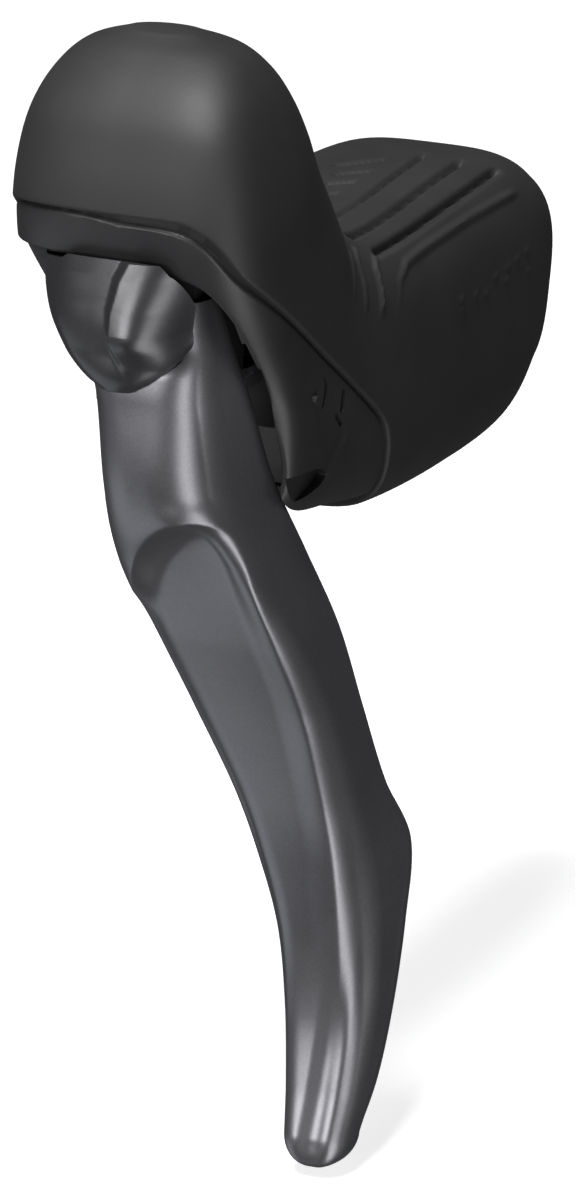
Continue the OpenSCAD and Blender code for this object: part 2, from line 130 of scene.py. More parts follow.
def half_ring(t, off, nv, wgt, right):
    r = at(BODY, t).copy()
    if right:
        q = at(SQUARE, t)
        r[5] += q[0]
        r[6] += q[1]
    I, O = r[0:2], r[2:4]
    M, D = (I + O) / 2, (I - O) / 2
    L = np.linalg.norm(D)
    d = D / L
    u = np.linspace(0, 1, 241)
    v = np.concatenate([0.5 * u ** 2.6, 1 - 0.5 * (1 - u[1:]) ** 2.6]) * 0.5 * math.pi
    v = np.concatenate([v, math.pi - v[::-1][1:]])
    c, s = np.cos(v), np.sin(v)
    n = np.where(c > 0, r[5], r[6])
    a = np.sign(c) * np.abs(c) ** (2 / n) * (L - off)
    x = np.abs(s) ** (2 / n) * (r[4] - off)
    H = np.column_stack([x, M[0] + d[0] * a, M[1] + d[1] * a])
    H = resample(H, nv // 2 + 1, wgt, closed=False)
    H[0, 0] = H[-1, 0] = 0
    return H


def body_ring(t, off, nv, wgt=None):
    """Ring of the bracket's surface: index 0 is the upper centre line, nv/2 the lower one."""
    right = half_ring(t, off, nv, wgt, True)
    left = half_ring(t, off, nv, wgt, False)[1:-1][::-1]
    left[:, 0] *= -1
    return np.vstack([right, left])


def grid_faces(nu, nv, flip=False):
    f = []
    for i in range(nu - 1):
        a = i * nv
        for j in range(nv):
            k = (j + 1) % nv
            q = [a + j, a + k, a + nv + k, a + nv + j]
            f.append(q[::-1] if flip else q)
    return f


def grid_normals(G):
    """Unit normals of a closed-ring grid (rings along axis 0), pointing away from the ring centres."""
    du = np.gradient(G, axis=0)
    dv = (np.roll(G, -1, axis=1) - np.roll(G, 1, axis=1)) / 2
    N = np.cross(dv, du)
    N /= np.linalg.norm(N, axis=2, keepdims=True) + 1e-12
    C = G.mean(axis=1, keepdims=True)
    sgn = np.sign(((G - C) * N).sum(2).mean())
    return N * sgn


def split_at(A, F, col, level, eps=0.02):
    """Splits faces where column col of the vertex rows crosses level."""
    s = A[:, col].copy()
    s[np.abs(s - level) < eps] = level
    A[:, col] = s
    sl = s.tolist()
    cache, extra, out = {}, [], []
    n = len(A)
    for f in F:
        v = [sl[i] for i in f]
        if min(v) >= level or max(v) <= level:
            out.append(f)
            continue
        lo, hi = [], []
        m = len(f)
        for k in range(m):
            i, j = f[k], f[(k + 1) % m]
            a, b = sl[i], sl[j]
            if a <= level:
                lo.append(i)
            if a >= level:
                hi.append(i)
            if (a < level < b) or (b < level < a):
                key = (i, j) if i < j else (j, i)
                if key not in cache:
                    w = (level - sl[key[0]]) / (sl[key[1]] - sl[key[0]])
                    cache[key] = n + len(extra)
                    row = A[key[0]] * (1 - w) + A[key[1]] * w
                    row[col] = level
                    extra.append(row)
                lo.append(cache[key])
                hi.append(cache[key])
        if len(lo) > 2:
            out.append(lo)
        if len(hi) > 2:
            out.append(hi)
    if extra:
        A = np.vstack([A, np.array(extra)])
    return A, out


def keep_side(A, F, col, level, above=True):
    s = A[:, col]
    out = []
    for f in F:
        m = sum(s[i] for i in f) / len(f)
        if (m > level) == above:
            out.append(f)
    return out


def compact(A, F):
    used = sorted({i for f in F for i in f})
    new = {o: k for k, o in enumerate(used)}
    return A[used], [[new[i] for i in f] for f in F]


def roll(s, r):
    """How far a surface drops at distance s inside an edge rounded to radius r."""
    q = np.clip(r - s, 0, r)
    return r - np.sqrt(np.maximum(r * r - q * q, 0))


def seg_dist(P, pts):
    """Distance of points to a polyline, and the place along it from 0 to 1."""
    pts = np.array(pts, float)
    best = np.full(len(P), 1e9)
    place = np.zeros(len(P))
    lens = np.linalg.norm(np.diff(pts, axis=0), axis=1)
    tot = lens.sum()
    run = 0.0
    for i in range(len(pts) - 1):
        a, b = pts[i], pts[i + 1]
        d = b - a
        h = np.clip(((P - a) @ d) / (d @ d), 0, 1)
        q = np.linalg.norm(P - (a + h[:, None] * d), axis=1)
        m = q < best
        best[m] = q[m]
        place[m] = (run + h[m] * lens[i]) / tot
        run += lens[i]
    return best, place


# ---------------------------------------------------------------- mesh objects
def mesh_object(name, V, F, smooth_shade=True):
    me = bpy.data.meshes.new(name)
    me.from_pydata((np.asarray(V, float) * 0.001).tolist(), [], F)
    me.validate()
    if smooth_shade:
        me.shade_smooth()
    o = bpy.data.objects.new(name, me)
    bpy.context.scene.collection.objects.link(o)
    return o


def fix_normals(o):
    bm = bmesh.new()
    bm.from_mesh(o.data)
    bmesh.ops.recalc_face_normals(bm, faces=bm.faces)
    bm.to_mesh(o.data)
    bm.free()
    return o


def drop(o):
    me = o.data
    bpy.data.objects.remove(o, do_unlink=True)
    bpy.data.meshes.remove(me)


def bake(o):
    """Applies the modifiers of o to its mesh."""
    dg = bpy.context.evaluated_depsgraph_get()
    me = bpy.data.meshes.new_from_object(o.evaluated_get(dg))
    old = o.data
    o.modifiers.clear()
    o.data = me
    bpy.data.meshes.remove(old)
    return o


def csg(o, steps):
    """Applies (operation, operand) pairs to o; the operands are removed."""
    for op, b in steps:
        m = o.modifiers.new("b", "BOOLEAN")
        m.operation = op
        m.solver = "MANIFOLD"
        m.object = b
        bake(o)
        drop(b)
    return o


def sharp(o, deg=32):
    o.data.shade_smooth()
    o.data.set_sharp_from_angle(angle=math.radians(deg))
    return o


def loft(name, rings, cap=True):
    nv = len(rings[0])
    V = np.vstack(rings)
    F = grid_faces(len(rings), nv)
    if cap:
        F.append(list(range(nv))[::-1])
        F.append([(len(rings) - 1) * nv + k for k in range(nv)])
    return fix_normals(mesh_object(name, V, F))


def prism(pts, w, x0=None):
    """Side-view outline (y z) swept across the width."""
    a, b = (-w / 2, w / 2) if x0 is None else (x0, x0 + w)
    r = [np.array([[x, p[0], p[1]] for p in pts]) for x in (a, b)]
    return loft("prism", r)


def rod(c, axis, r, a, b, n=64):
    """Cylinder round an axis through c from a to b along it."""
    ax = np.array(axis, float)
    ax /= np.linalg.norm(ax)
    u = np.cross(ax, [0, 0, 1.0] if abs(ax[2]) < 0.9 else [1.0, 0, 0])
    u /= np.linalg.norm(u)
    w = np.cross(ax, u)
    c = np.array(c, float)
    rings = []
    for h in (a, b):
        rings.append(np.array([c + ax * h + r * (math.cos(2 * math.pi * k / n) * u + math.sin(2 * math.pi * k / n) * w)
                               for k in range(n)]))
    return loft("rod", rings)


def bar_pt(x, y, z):
    """Handlebar frame to part frame."""
    return np.array([x, y * math.cos(TILT) + z * math.sin(TILT), -y * math.sin(TILT) + z * math.cos(TILT)])


BAR_AX = bar_pt(0, 0, 1)


def bar_box(x0, x1, y0, y1, z0, z1):
    r = []
    for z in (z0, z1):
        r.append(np.array([bar_pt(x, y, z) for x, y in ((x0, y0), (x1, y0), (x1, y1), (x0, y1))]))
    return loft("box", r)


def bar_rod(x, y, r, z0, z1, n=64):
    return rod(bar_pt(x, y, 0), BAR_AX, r, z0, z1, n)


def box(x0, x1, y0, y1, z0, z1):
    r = [np.array([[x0, y0, z], [x1, y0, z], [x1, y1, z], [x0, y1, z]], float) for z in (z0, z1)]
    return loft("box", r)


# ---------------------------------------------------------------- materials
MATS = {}


def material(slot, lo, hi, metallic, rough, spread, spec=0.5, coat=0.0, coat_rough=0.3,
             mottling=60.0, grain=2600.0, grain_h=0.00003, grain_s=0.25, fleck=0.0, sheen=0.0, streak=None):
    """Procedural finish: mottled colour, uneven roughness, and a fine surface grain."""
    m = bpy.data.materials.new(slot)
    m.use_nodes = True
    nt = m.node_tree
    nt.nodes.clear()
    N = nt.nodes.new
    L = nt.links.new
    out = N("ShaderNodeOutputMaterial")
    p = N("ShaderNodeBsdfPrincipled")
    L(p.outputs["BSDF"], out.inputs["Surface"])
    p.inputs["Metallic"].default_value = metallic
    p.inputs["Specular IOR Level"].default_value = spec
    p.inputs["Coat Weight"].default_value = coat
    p.inputs["Coat Roughness"].default_value = coat_rough
    p.inputs["Sheen Weight"].default_value = sheen
    p.inputs["Sheen Roughness"].default_value = 0.5
    tc = N("ShaderNodeTexCoord")
    src = tc.outputs["Object"]
    if streak:
        mp = N("ShaderNodeMapping")
        mp.inputs["Scale"].default_value = streak
        L(src, mp.inputs["Vector"])
        src = mp.outputs["Vector"]
    n1 = N("ShaderNodeTexNoise")
    n1.inputs["Scale"].default_value = mottling
    n1.inputs["Detail"].default_value = 5.0
    n1.inputs["Roughness"].default_value = 0.6
    L(src, n1.inputs["Vector"])
    ramp = N("ShaderNodeValToRGB")
    ramp.color_ramp.elements[0].position = 0.3
    ramp.color_ramp.elements[1].position = 0.7
    ramp.color_ramp.elements[0].color = (*lo, 1)
    ramp.color_ramp.elements[1].color = (*hi, 1)
    L(n1.outputs["Fac"], ramp.inputs["Fac"])
    col = ramp.outputs["Color"]
    n2 = N("ShaderNodeTexNoise")
    n2.inputs["Scale"].default_value = grain
    n2.inputs["Detail"].default_value = 3.0
    n2.inputs["Roughness"].default_value = 0.55
    L(src, n2.inputs["Vector"])
    if fleck:
        v = N("ShaderNodeTexVoronoi")
        v.inputs["Scale"].default_value = grain * 1.6
        L(src, v.inputs["Vector"])
        fr = N("ShaderNodeValToRGB")
        fr.color_ramp.elements[0].position = 0.0
        fr.color_ramp.elements[1].position = 0.9
        g = fleck
        fr.color_ramp.elements[0].color = (1 - g, 1 - g, 1 - g, 1)
        fr.color_ramp.elements[1].color = (1 + g, 1 + g, 1 + g, 1)
        L(v.outputs["Color"], fr.inputs["Fac"])
        mx = N("ShaderNodeMix")
        mx.data_type = "RGBA"
        mx.blend_type = "MULTIPLY"
        mx.inputs["Factor"].default_value = 1.0
        L(col, mx.inputs["A"])
        L(fr.outputs["Color"], mx.inputs["B"])
        col = mx.outputs["Result"]
    L(col, p.inputs["Base Color"])
    mr = N("ShaderNodeMapRange")
    mr.inputs["From Min"].default_value = 0.3
    mr.inputs["From Max"].default_value = 0.7
    mr.inputs["To Min"].default_value = rough - spread
    mr.inputs["To Max"].default_value = rough + spread
    L(n1.outputs["Fac"], mr.inputs["Value"])
    L(mr.outputs["Result"], p.inputs["Roughness"])
    b = N("ShaderNodeBump")
    b.inputs["Strength"].default_value = grain_s
    b.inputs["Distance"].default_value = grain_h
    L(n2.outputs["Fac"], b.inputs["Height"])
    L(b.outputs["Normal"], p.inputs["Normal"])
    MATS[slot] = m
    return m


material("hood_rubber", (0.016, 0.016, 0.0168), (0.022, 0.022, 0.0228), 0.0, 0.60, 0.05, spec=0.45, mottling=45, grain=1500, grain_h=0.00005, grain_s=0.35)
material("resin", (0.016, 0.016, 0.017), (0.024, 0.024, 0.025), 0.0, 0.44, 0.05, spec=0.5, mottling=80, grain=2200, grain_h=0.00004, grain_s=0.3)
material("lever_grey", (0.175, 0.175, 0.187), (0.21, 0.21, 0.224), 0.85, 0.38, 0.03, spec=0.5, coat=0.15, coat_rough=0.3, mottling=30, grain=3800, grain_h=0.00001, grain_s=0.15, fleck=0.10)
material("cap_grey", (0.075, 0.075, 0.079), (0.095, 0.095, 0.100), 0.8, 0.34, 0.03, spec=0.5, coat=0.15, coat_rough=0.3, mottling=40, grain=3400, grain_h=0.000012, grain_s=0.15, fleck=0.08)
material("steel", (0.45, 0.45, 0.47), (0.62, 0.62, 0.64), 1.0, 0.30, 0.07, mottling=120, grain=2500, grain_h=0.00001, grain_s=0.2, streak=(1, 6, 6))
material("black_steel", (0.035, 0.035, 0.037), (0.06, 0.06, 0.063), 0.85, 0.36, 0.06, mottling=120, grain=2500, grain_h=0.00001, grain_s=0.2)
material("seal_rubber", (0.010, 0.010, 0.010), (0.018, 0.018, 0.018), 0.0, 0.45, 0.05, mottling=90, grain=2000, grain_h=0.00002, grain_s=0.2)
material("brass", (0.55, 0.38, 0.16), (0.72, 0.53, 0.25), 1.0, 0.30, 0.06, mottling=140, grain=2500, grain_h=0.00001, grain_s=0.2, streak=(6, 1, 6))
material("black_metal", (0.020, 0.020, 0.021), (0.034, 0.034, 0.036), 0.2, 0.42, 0.05, mottling=90, grain=1800, grain_h=0.00003, grain_s=0.3)
material("piston_metal", (0.035, 0.035, 0.038), (0.055, 0.055, 0.06), 0.9, 0.34, 0.05, mottling=120, grain=2600, grain_h=0.00001, grain_s=0.2, streak=(6, 1, 6))


def dress(o, slot):
    o.data.materials.clear()
    o.data.materials.append(MATS[slot])


# ---------------------------------------------------------------- parting line and cheek outline
# Side view: where the rubber ends (y, z), and where the bare rim ends towards the lever
PART = [[-125, 38.3], [-103.45, 38.3], [-103.1, 37.7], [-102.4, 36.5], [-101.3, 34.5], [-99.8, 32.0], [-98.0, 29.8],
        [-93.5, 26.4], [-87.2, 21.9], [-79.8, 16.3], [-72.0, 10.7], [-64.3, 4.8], [-61.3, 2.2], [-59.8, 0.0], [-59.0, -3.5], [-58.5, -30]]
LOW_R = [[-125, 31.4], [-102.1, 31.4], [-101.6, 31.0], [-101.0, 30.3], [-100.4, 29.5], [-99.3, 28.0], [-96.3, 23.5], [-93.1, 18.9],
         [-90.5, 15.1], [-88.8, 12.0], [-87.5, 7.5], [-86.6, 3.3], [-86.0, -1], [-85.2, -8], [-84, -30]]
LOW_L = [[-125, 31.4], [-97.5, 31.6], [-93.2, 30.6], [-90.2, 27.0], [-85.8, 21.8], [-82.0, 14.8], [-78.0, 8.6], [-73.0, 3.2], [-70.8, -2.5], [-70, -30]]
PART_LEFT = [[-125, 38.3], [-103.5, 38.2], [-101.5, 37.8], [-98, 37.2], [-94.5, 35.6], [-90.5, 31.8], [-86, 26.0], [-80.2, 19.0], [-72.1, 11.8], [-64.6, 4.9],
             [-61.3, 2.2], [-59.6, 0.0], [-58.8, -3.5], [-58.5, -30]]


def curve(pts, n=12):
    """The polyline with its corners eased (centripetal pieces between mid points)."""
    p = np.array(pts, float)
    out = [p[0]]
    for i in range(1, len(p) - 1):
        a, b, c = (p[i - 1] + p[i]) / 2, p[i], (p[i] + p[i + 1]) / 2
        for k in range(n + 1):
            s = k / n
            out.append((1 - s) ** 2 * a + 2 * s * (1 - s) * b + s * s * c)
    out.append(p[-1])
    return np.array(out)


def signed(P2, line, side):
    """Distance of points (y, z) to an open line, positive on the given side."""
    line = np.asarray(line, float)
    best = np.full(len(P2), 1e9)
    sg = np.ones(len(P2))
    for i in range(len(line) - 1):
        a, b = line[i], line[i + 1]
        d = b - a
        L2 = d @ d
        if L2 < 1e-12:
            continue
        h = np.clip(((P2 - a) @ d) / L2, 0, 1)
        q = P2 - (a + h[:, None] * d)
        r = np.hypot(q[:, 0], q[:, 1])
        cr = d[0] * (P2[:, 1] - a[1]) - d[1] * (P2[:, 0] - a[0])
        m = r < best - 1e-9
        best[m] = r[m]
        sg[m] = np.sign(cr[m])
    return best * sg * side


PART_C = curve(PART)
PART_LC = curve(PART_LEFT)
LOW_RC, LOW_LC = curve(LOW_R), curve(LOW_L)


def part_field(P):
    """Positive where the rubber is; the inboard part of its edge sits a little higher."""
    r = signed(P[:, 1:3], PART_C, 1)
    l = signed(P[:, 1:3], PART_LC, 1)
    w = smooth(-6, 2, P[:, 0])
    return l * (1 - w) + r * w


def low_field(P):
    r = signed(P[:, 1:3], LOW_RC, 1)
    l = signed(P[:, 1:3], LOW_LC, 1)
    w = smooth(-3, 3, P[:, 0])
    return l * (1 - w) + r * w


def along_surface(G, f):
    """Turns a side-view distance into one measured along the surface grid G."""
    f = f.reshape(G.shape[:2])
    Gu, fu = np.gradient(G, axis=0), np.gradient(f, axis=0)
    Gv, fv = 0.5 * (np.roll(G, -1, 1) - np.roll(G, 1, 1)), 0.5 * (np.roll(f, -1, 1) - np.roll(f, 1, 1))
    E, M, H = (Gu * Gu).sum(2), (Gu * Gv).sum(2), (Gv * Gv).sum(2)
    q = (H * fu * fu - 2 * M * fu * fv + E * fv * fv) / np.maximum(E * H - M * M, 1e-9)
    g = np.sqrt(np.clip(q, 0.02, 1.0))
    for _ in range(3):
        g[1:-1] = 0.25 * g[:-2] + 0.5 * g[1:-1] + 0.25 * g[2:]
        g = 0.25 * np.roll(g, 1, 1) + 0.5 * g + 0.25 * np.roll(g, -1, 1)
    return (f / g).ravel()


def bar_field(P, r):
    y = P[:, 1] * math.cos(TILT) - P[:, 2] * math.sin(TILT)
    d = np.hypot(P[:, 0], y)
    return np.where(y < 0, d, np.maximum(np.abs(P[:, 0]), 0)) - r


# ---------------------------------------------------------------- hood
# Grooves and raised lines of the hood's top and outboard shoulder, as points on its surface
GROOVES = [
    ([[3.4, -17.0, 26.2], [5.1, -35.0, 26.1], [6.4, -53.0, 26.2]], 0.50, 0.95),
    ([[9.2, -17.0, 25.9], [10.6, -36.0, 25.6], [11.6, -50.0, 25.4], [12.5, -59.5, 25.9]], 0.58, 1.1),
    ([[13.7, -14.5, 24.6], [14.7, -30.0, 24.3], [15.1, -45.0, 23.6], [15.6, -57.0, 23.6]], 0.66, 1.2)]
SHORTS = [
    ([[-5.2, -27.4, 26.2], [-0.6, -21.8, 26.2]], 0.50, 0.75),
    ([[-3.0, -31.8, 26.2], [0.5, -28.3, 26.2]], 0.45, 0.65),
    ([[-1.9, -36.3, 26.1], [1.0, -34.0, 26.1]], 0.45, 0.60),
    ([[0.2, -40.6, 25.9], [1.1, -39.8, 25.9]], 0.45, 0.55)]
RIDGES = [
    ([[16.8, -12.5, 22.0], [17.0, -31.7, 22.1], [17.1, -46.1, 21.5], [17.2, -51.6, 21.0], [17.8, -54.8, 19.4], [18.2, -56.2, 16.5], [18.4, -57.4, 13.6]], 0.50, 0.55),
    ([[15.4, -58.2, 23.6], [16.8, -60.3, 22.0], [17.9, -60.9, 19.0], [18.3, -61.9, 15.6]], 0.45, 0.55),
    ([[14.6, -62.6, 26.0], [15.9, -64.6, 24.2], [17.2, -65.3, 21.6], [18.2, -66.4, 17.2]], 0.45, 0.55),
    ([[15.8, -66.6, 26.6], [17.0, -68.2, 24.0], [17.9, -69.4, 20.4]], 0.40, 0.45)]
PIPS = [(19.0, -15.3, 13.8), (19.1, -18.8, 13.5), (19.1, -22.0, 13.1), (19.1, -26.3, 12.9), (19.1, -14.8, 10.8),
        (19.2, -22.4, 11.4), (19.1, -37.6, 12.4), (19.2, -33.0, 11.9), (19.1, -37.2, 11.0), (19.2, -29.4, 11.3)]


def hood_relief(P):
    """Outward relief of the rubber: grooves cut in, ridges and pips standing out."""
    h = np.zeros(len(P))
    near = P[:, 2] > 8
    Q = P[near]
    g = np.zeros(len(Q))
    for pts, half, depth in GROOVES + SHORTS:
        d, s = seg_dist(Q, pts)
        g -= depth * (1 - smooth(half * 0.05, half * 1.7, d))
    for pts, half, depth in RIDGES:
        d, s = seg_dist(Q, pts)
        g += depth * (1 - smooth(0.0, half * 1.9, d)) * smooth(0.0, 0.10, s) * (1 - smooth(0.72, 1.0, s))
    for c in PIPS:
        d = np.linalg.norm((Q - np.array(c)) * [0.4, 1, 1], axis=1)
        g += 0.30 * (1 - smooth(0.15, 0.75, d))
    h[near] = g
    return h


def hood():
    nv = 330
    nt = 250

    def w(P):
        return np.where(P[:, 2] > P[:, 2].mean(), 1.35, 0.8)
    # stations along the hood, closer together over the grooved palm rest
    t = np.concatenate([np.linspace(0, 5.6, int(nt * 0.62), endpoint=False), np.linspace(5.6, 13, nt - int(nt * 0.62))])
    G = np.array([body_ring(a, 0.0, nv, w) for a in t])
    N = grid_normals(G)
    # crown over the horn's end
    top = G[-1]
    c = top.mean(axis=0) + [0, 0, 0.35]
    caps = []
    for k in range(1, 9):
        s = math.cos(0.5 * math.pi * k / 9)
        r = c + (top - c) * [s, s, 0] + [0, 0, 0]
        r[:, 2] = c[2] - 0.35 * s * s - (c[2] - 0.35 - top[:, 2]) * s
        caps.append(r)
    Gc = np.vstack([G, np.array(caps)])
    nrow = len(Gc)
    V = Gc.reshape(-1, 3)
    Nn = grid_normals(Gc)
    Nn[nrow - 9:, :, :] = [0, 0, 1]
    Nn = Nn.reshape(-1, 3)
    F = grid_faces(nrow, nv)
    F.append([(nrow - 1) * nv + k for k in range(nv)])
    rel = hood_relief(V)
    A = np.column_stack([V, Nn, along_surface(Gc, part_field(V)), bar_field(V, BAR_R + 0.45), rel])
    for lev in (0.9, 0.55, 0.28, 0.1, 0.0):
        A, F = split_at(A, F, 6, lev)
    F = keep_side(A, F, 6, 0.0)
    for lev in (0.6, 0.25, 0.0):
        A, F = split_at(A, F, 7, lev)
    F = keep_side(A, F, 7, 0.0)
    A, F = compact(A, F)
    P, Nr = A[:, :3], A[:, 3:6]
    Nr = Nr / (np.linalg.norm(Nr, axis=1, keepdims=True) + 1e-9)
    inset = roll(A[:, 6], 0.55) + roll(A[:, 7], 0.4)
    outer = P + Nr * (A[:, 8] - inset)[:, None]
    o = mesh_object("hood_outer", outer, F)
    # inside of the rubber
    ni, ti = 110, 90
    tt = np.linspace(0, 13, ti)
    Gi = np.array([body_ring(a, RUBBER, ni) for a in tt])
    Vi = Gi.reshape(-1, 3)
    Fi = grid_faces(ti, ni, flip=True)
    Fi.append([(ti - 1) * ni + k for k in range(ni)][::-1])
    B = np.column_stack([Vi, part_field(Vi), bar_field(Vi, BAR_R + 0.45)])
    B, Fi = split_at(B, Fi, 3, 0.0)
    Fi = keep_side(B, Fi, 3, 0.0)
    B, Fi = split_at(B, Fi, 4, 0.0)
    Fi = keep_side(B, Fi, 4, 0.0)
    B, Fi = compact(B, Fi)
    bm = bmesh.new()
    bm.from_mesh(o.data)
    tmp = bpy.data.meshes.new("t")
    tmp.from_pydata((B[:, :3] * 0.001).tolist(), [], Fi)
    tmp.validate()
    bm.from_mesh(tmp)
    bpy.data.meshes.remove(tmp)
    bmesh.ops.remove_doubles(bm, verts=bm.verts, dist=2e-6)
    rim = loops_of(bm)
    front = [l for l in rim if min(v.co.y for v in l[0]) < -0.09]
    rear = [l for l in rim if min(v.co.y for v in l[0]) >= -0.09]
    print("hood rims", [(len(l[0]), round(min(v.co.y for v in l[0]), 4)) for l in rim])
    for pair in (front, rear):
        if len(pair) == 2:
            bmesh.ops.bridge_loops(bm, edges=pair[0][1] + pair[1][1])
    bmesh.ops.recalc_face_normals(bm, faces=bm.faces)
    bm.to_mesh(o.data)
    bm.free()
    o.name = "hood"
    o.data.name = "hood"
    sharp(o, 48)
    return o


def loops_of(bm):
    """Boundary loops as (vertices, edges)."""
    todo = {e for e in bm.edges if len(e.link_faces) == 1}
    res = []
    while todo:
        e = todo.pop()
        vs, es = [e.verts[0], e.verts[1]], [e]
        while True:
            nxt = [k for k in vs[-1].link_edges if k in todo]
            if not nxt:
                break
            k = nxt[0]
            todo.discard(k)
            es.append(k)
            v = k.other_vert(vs[-1])
            if v is vs[0]:
                break
            vs.append(v)
        res.append((vs, es))
    return res


# ---------------------------------------------------------------- resin bracket
def cheek_relief(P):
    """Small moulded mark of the outboard cheek: a raised edge that runs down to the pocket below it."""
    h = np.zeros(len(P))
    m = (P[:, 0] > 8) & (P[:, 2] < 20)
    Q = P[m][:, 1:3]
    if len(Q) == 0:
        return h
    g = np.zeros(len(Q))
    # raised edge that runs down to the pocket below the cheek
    q = np.column_stack([Q, np.zeros(len(Q))])
    d, s = seg_dist(q, [[-71.0, 4.2, 0], [-71.6, 3.2, 0], [-73.4, 1.6, 0], [-75.4, 0.2, 0], [-76.6, -1.2, 0]])
    g += 0.42 * (1 - smooth(0.0, 0.75, d)) * smooth(0.0, 0.2, s)
    h[m] = g
    return h


def disc(y, z, r, n=24):
    return [[y + r * math.cos(2 * math.pi * k / n), z + r * math.sin(2 * math.pi * k / n)] for k in range(n)]


def capsule(p, q, r, n=10):
    p, q = np.array(p, float), np.array(q, float)
    a = math.atan2(*(q - p)[::-1])
    out = [q + r * np.array([math.cos(a - math.pi / 2 + math.pi * k / n), math.sin(a - math.pi / 2 + math.pi * k / n)]) for k in range(n + 1)]
    out += [p + r * np.array([math.cos(a + math.pi / 2 + math.pi * k / n), math.sin(a + math.pi / 2 + math.pi * k / n)]) for k in range(n + 1)]
    return [v.tolist() for v in out]


def arc_band(y, z, r0, r1, a0, a1, n=20):
    """Crescent: full width in its middle and pointed at both ends."""
    A = [math.radians(a0 + (a1 - a0) * k / n) for k in range(n + 1)]
    mid = 0.5 * (r0 + r1)
    w = [0.5 * (r1 - r0) * max(math.sin(math.pi * k / n), 0.08) for k in range(n + 1)]
    o = [[y + (mid + h) * math.cos(a), z + (mid + h) * math.sin(a)] for a, h in zip(A, w)]
    i = [[y + (mid - h) * math.cos(a), z + (mid - h) * math.sin(a)] for a, h in zip(A, w)]
    return o + i[::-1]


